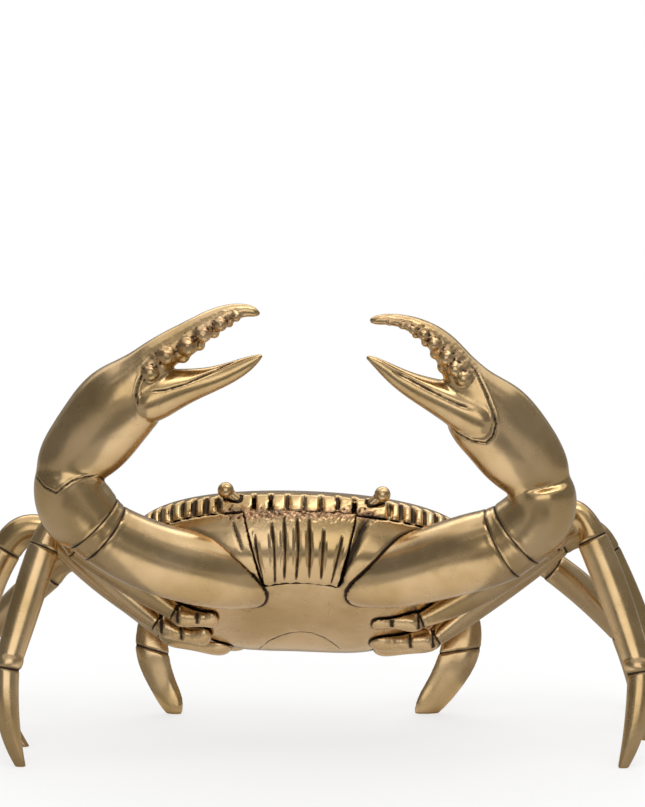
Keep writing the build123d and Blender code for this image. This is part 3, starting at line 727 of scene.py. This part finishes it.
# %% Helpers for nodes


def add(tree, kind, inputs=None, **settings):
    """A node with its settings, its constants and its links."""
    node = tree.nodes.new(kind)
    for key, value in settings.items():
        setattr(node, key, value)
    for key, value in (inputs or {}).items():
        if isinstance(value, bpy.types.NodeSocket):
            tree.links.new(value, node.inputs[key])
        else:
            node.inputs[key].default_value = value
    return node


def group(title, ins, outs):
    """An empty node group with its sockets."""
    tree = bpy.data.node_groups.new(title, "ShaderNodeTree")
    for name in ins:
        tree.interface.new_socket(name, in_out="INPUT", socket_type="NodeSocketFloat")
    for name, kind in outs.items():
        tree.interface.new_socket(name, in_out="OUTPUT", socket_type=kind)
    return tree, tree.nodes.new("NodeGroupInput"), tree.nodes.new("NodeGroupOutput")


def ranged(tree, value, low, high, to_low=0.0, to_high=1.0):
    """A value carried from one range to another, without leaving it."""
    inputs = {"Value": value, "From Min": low, "From Max": high, "To Min": to_low, "To Max": to_high}
    return add(tree, "ShaderNodeMapRange", inputs, clamp=True, interpolation_type="SMOOTHSTEP").outputs[0]


def added(tree, first, second):
    return add(tree, "ShaderNodeMath", {0: first, 1: second}, operation="ADD").outputs[0]


def times(tree, first, second):
    return add(tree, "ShaderNodeMath", {0: first, 1: second}, operation="MULTIPLY").outputs[0]


def noise(tree, spot, scale, detail=3.0):
    return add(tree, "ShaderNodeTexNoise", {"Vector": spot, "Scale": scale, "Detail": detail}).outputs[0]


def blend(tree, share, first, second):
    return add(tree, "ShaderNodeMix", {0: share, 6: first, 7: second}, data_type="RGBA").outputs[2]


# %% [markdown]
# ## Tones
# Old brass isn't one colour. It goes from pale to olive in slow patches, and is coppery where it is raw.
# Over that lies the patina, with the painted shade of seams and hollows: first a smoky brown veil, then
# black. Clouds and specks break its edge, and every layer of that darkening makes the metal duller too.

# %% Tones of the metal
PALE = (0.76, 0.54, 0.295, 1)
OLIVE = (0.60, 0.41, 0.192, 1)
COPPER = (0.53, 0.30, 0.175, 1)
# The veil and the black are the patina's colours, and also the painted shade of seams and hollows
VEIL_BROWN = (0.30, 0.20, 0.105, 1)
BLACK = (0.070, 0.047, 0.031, 1)
PATCH_SCALE, CLOUD_SCALE, SPECK_SCALE = 22.0, 120.0, 700.0
CLOUD_DETAIL, SPECK_DETAIL = 4.0, 5.0
PATCH_RANGE, CLOUD_RANGE, SPECK_RANGE = (0.36, 0.64), (0.3, 0.7), (0.44, 0.60)
RAW_RANGE, VEIL_RANGE, BLACK_RANGE = (0.15, 1.1), (0.08, 0.5), (0.38, 0.85)
CLOUD_STAIN, SPECK_STAIN, VEIL_SHARE = 0.16, 0.45, 0.55
BRIGHT, DULL, RAW_DULLS, BLACK_DULLS = 0.21, 0.28, 0.12, 0.3

outs = {"Colour": "NodeSocketColor", "Roughness": "NodeSocketFloat"}
tones, given, told = group("worn_and_shaded_tones", ["PatinaAndShade", "Raw"], outs)
rawness = given.outputs["Raw"]
spot = add(tones, "ShaderNodeTexCoord").outputs["Object"]
patches = noise(tones, spot, PATCH_SCALE)
clouds = noise(tones, spot, CLOUD_SCALE, CLOUD_DETAIL)
specks = noise(tones, spot, SPECK_SCALE, SPECK_DETAIL)
metal = blend(tones, ranged(tones, patches, *PATCH_RANGE), PALE, OLIVE)
metal = blend(tones, ranged(tones, rawness, *RAW_RANGE), metal, COPPER)
# The darkening: patina and painted shade from each point, with clouds and specks of dirt on top
dirt_and_shade = added(tones, given.outputs["PatinaAndShade"], ranged(tones, clouds, *CLOUD_RANGE, -CLOUD_STAIN, CLOUD_STAIN))
speckled = times(tones, rawness, ranged(tones, specks, *SPECK_RANGE))
dirt_and_shade = added(tones, dirt_and_shade, times(tones, speckled, SPECK_STAIN))
veil, black = ranged(tones, dirt_and_shade, *VEIL_RANGE), ranged(tones, dirt_and_shade, *BLACK_RANGE)
metal = blend(tones, times(tones, veil, VEIL_SHARE), metal, VEIL_BROWN)
tones.links.new(blend(tones, black, metal, BLACK), told.inputs["Colour"])
worn = ranged(tones, clouds, *CLOUD_RANGE, BRIGHT, DULL)
worn = added(tones, worn, times(tones, rawness, RAW_DULLS))
worn = added(tones, worn, times(tones, black, BLACK_DULLS))
tones.links.new(worn, told.inputs["Roughness"])
print("nodes for the tones", len(tones.nodes))

# %% [markdown]
# ## Marks
# A file and a brush leave fine streaks that all run one way, so one noise is stretched along them. The raw
# patches have the grain of sand instead. Both are far too fine for the mesh, so they are a bump.

# %% Marks of file and brush
FILE_TURN = (0.4, 0.7, 0.3)
FILE_STRETCH = (1, 1, 0.06)
MARK_SCALE = 900.0
STREAK_DETAIL, GRAIN_DETAIL = 2.0, 4.0
STREAK_HEIGHT, GRAIN_HEIGHT = 0.35, 2.2
BUMP = {"Strength": 0.18, "Distance": 0.0002}

marks, given, told = group("worked_marks", ["Raw"], {"Normal": "NodeSocketVector"})
spot = add(marks, "ShaderNodeTexCoord").outputs["Object"]
filed = add(marks, "ShaderNodeMapping", {"Vector": spot, "Rotation": FILE_TURN, "Scale": FILE_STRETCH})
streaks = noise(marks, filed.outputs[0], MARK_SCALE, STREAK_DETAIL)
grain = times(marks, noise(marks, spot, MARK_SCALE, GRAIN_DETAIL), given.outputs["Raw"])
height = added(marks, times(marks, streaks, STREAK_HEIGHT), times(marks, grain, GRAIN_HEIGHT))
bumped = add(marks, "ShaderNodeBump", {"Height": height, **BUMP})
marks.links.new(bumped.outputs[0], told.inputs["Normal"])
print("nodes for the marks", len(marks.nodes))

# %% [markdown]
# ## Brass
# One material serves every piece. It reads the two amounts that each point keeps, hands them to the two
# groups, and is a metal throughout: the patina and the painted shade only darken its colour.

# %% The brass
brass = bpy.data.materials.new("antique_brass")
brass.use_nodes = True
brass_tree = brass.node_tree
shader = brass_tree.nodes["Principled BSDF"]
shader.inputs["Metallic"].default_value = 1.0
# The darkness of patina and painted shade that each point keeps
patina_and_shade_value = add(brass_tree, "ShaderNodeAttribute", attribute_name="patina_and_shade").outputs["Fac"]
rough = add(brass_tree, "ShaderNodeAttribute", attribute_name="raw").outputs["Fac"]
tone = add(brass_tree, "ShaderNodeGroup", {"PatinaAndShade": patina_and_shade_value, "Raw": rough}, node_tree=tones)
mark = add(brass_tree, "ShaderNodeGroup", {"Raw": rough}, node_tree=marks)
for source, target in (
    (tone.outputs["Colour"], "Base Color"),
    (tone.outputs["Roughness"], "Roughness"),
    (mark.outputs["Normal"], "Normal"),
):
    brass_tree.links.new(source, shader.inputs[target])
for piece in pieces.values():
    piece.data.materials.clear()
    piece.data.materials.append(brass)
print("brass on", len(pieces), "skins")

# %% [markdown]
# ## Studio
# Polished metal has no colour of its own to show: it shows the room. In the photograph the faces towards
# the camera are dark olive, so the walls are dark; broad soft lights lie on them, so a pale window stands
# behind the camera; and the undersides are grey, so the table is. Strong lamps would only burn the faces
# out. Grey cards that nothing but a reflection sees make this room, and the white world shows between them.

# %% Studio


def plate(name, size_x, size_y, place, turn=(0, 0, 0)):
    """A flat card of the studio."""
    form = bmesh.new()
    bmesh.ops.create_grid(form, x_segments=1, y_segments=1, size=0.5)
    bmesh.ops.scale(form, vec=(size_x, size_y, 1), verts=form.verts)
    mesh = bpy.data.meshes.new(name)
    form.to_mesh(mesh)
    form.free()
    card = bpy.data.objects.new(name, mesh)
    card.location = place
    card.rotation_euler = turn
    bpy.context.scene.collection.objects.link(card)
    return card


def felt(card, grey):
    """Dulls a card and hides it from all but reflections."""
    material = bpy.data.materials.new(card.name + "_felt")
    material.use_nodes = True
    cloth = material.node_tree.nodes["Principled BSDF"]
    cloth.inputs["Base Color"].default_value = (grey, grey, grey, 1)
    cloth.inputs["Roughness"].default_value = 1.0
    card.data.materials.append(material)
    card.visible_camera = card.visible_shadow = card.visible_diffuse = False
    return cloth


FLAT = (0, 0, 0)
ACROSS_ROOM = (math.pi / 2, 0, 0)
ALONG_ROOM = (math.pi / 2, 0, math.pi / 2)
# Under each name: the sizes, the middle and the turn of the card, and its grey
CARDS = {
    "front_wall": (7.0, 1.9, (0, -2.2, 0.96), ACROSS_ROOM, 0.19),
    "back_wall": (7.0, 1.3, (0, 1.7, 0.66), ACROSS_ROOM, 0.26),
    "left_wall": (3.6, 2.6, (-2.2, -0.4, 1.31), ALONG_ROOM, 0.15),
    "right_wall": (3.6, 1.9, (2.2, -0.4, 0.96), ALONG_ROOM, 0.22),
    "front_ceiling": (5.0, 1.3, (0, -1.55, 2.2), FLAT, 0.40),
    "table": (5.0, 4.2, (0, -0.3, 0.0004), FLAT, 0.36),
    "near_table": (0.24, 0.44, (0, -0.14, 0.0008), FLAT, 0.85),
    "dark_table": (0.6, 0.7, (0, -0.75, 0.0012), FLAT, 0.16),
    "window": (1.7, 1.42, (0, -2.15, 0.95), ACROSS_ROOM, 0.5),
}
WINDOW_LIGHT = 0.85
cloths = {name: felt(plate(name, *how), grey) for name, (*how, grey) in CARDS.items()}
cloths["window"].inputs["Emission Color"].default_value = (1, 1, 1, 1)
cloths["window"].inputs["Emission Strength"].default_value = WINDOW_LIGHT
print("cards", len(cloths))

# %% [markdown]
# ## Floor
# The photograph's background is pure white, with a soft shade under the crab. A white floor lit by lamps
# would come out grey somewhere, so the floor glows white by itself for the camera and for reflections,
# although the cards on the table keep most of it from the metal. Near the crab some of the glow gives way
# to matt paper, which takes the shade.

# %% Floor
FLOOR_SIZE = 8
PAPER_GREY = 0.85
NEAR, FAR = 0.27, 0.48
NEAR_GLOW = 0.66
floor = plate("floor", FLOOR_SIZE, FLOOR_SIZE, (0, 0, 0))
paper = bpy.data.materials.new("white_paper")
paper.use_nodes = True
paper_tree = paper.node_tree
paper_tree.nodes.clear()
seen_by = add(paper_tree, "ShaderNodeLightPath")
direct = added(paper_tree, seen_by.outputs["Is Camera Ray"], seen_by.outputs["Is Glossy Ray"])
direct = added(paper_tree, direct, seen_by.outputs["Is Transmission Ray"])
spot = add(paper_tree, "ShaderNodeTexCoord").outputs["Object"]
off = add(paper_tree, "ShaderNodeVectorMath", {0: spot}, operation="LENGTH").outputs["Value"]
white = ranged(paper_tree, off, NEAR, FAR, NEAR_GLOW, 1.0)
matt = add(paper_tree, "ShaderNodeBsdfDiffuse", {"Color": (PAPER_GREY, PAPER_GREY, PAPER_GREY, 1)})
glow = add(paper_tree, "ShaderNodeEmission", {"Strength": 1.0})
layers = {0: times(paper_tree, direct, white), 1: matt.outputs[0], 2: glow.outputs[0]}
mixed = add(paper_tree, "ShaderNodeMixShader", layers)
add(paper_tree, "ShaderNodeOutputMaterial", {"Surface": mixed.outputs[0]})
floor.data.materials.append(paper)
print("floor of", FLOOR_SIZE, "m")

# %% [markdown]
# ## World and lamps
# The world is white, and lights the matt paper from all round. Two weak lamps above add the bright edges on
# top of the claws and the back, and a direction to the shade.

# %% World and lamps
AIM = (0, 0, 0.15)
LAMP_POWER = 6
world = bpy.data.worlds.new("studio")
bpy.context.scene.world = world
world.use_nodes = True
sky = world.node_tree.nodes["Background"]
sky.inputs["Color"].default_value = (1, 1, 1, 1)
sky.inputs["Strength"].default_value = 1.0


def softbox(name, size_x, size_y, place):
    """A rectangular lamp that looks at the crab."""
    lamp_data = bpy.data.lights.new(name, "AREA")
    lamp_data.shape = "RECTANGLE"
    lamp_data.size, lamp_data.size_y = size_x, size_y
    lamp_data.energy = LAMP_POWER
    lamp = bpy.data.objects.new(name, lamp_data)
    lamp.location = place
    lamp.rotation_euler = (Vector(AIM) - Vector(place)).to_track_quat("-Z", "Y").to_euler()
    bpy.context.scene.collection.objects.link(lamp)


softbox("top_softbox", 1.4, 0.5, (0.3, -0.55, 1.8))
softbox("back_softbox", 2.2, 0.6, (0, 1.3, 1.7))
print("lamps of", LAMP_POWER, "W")
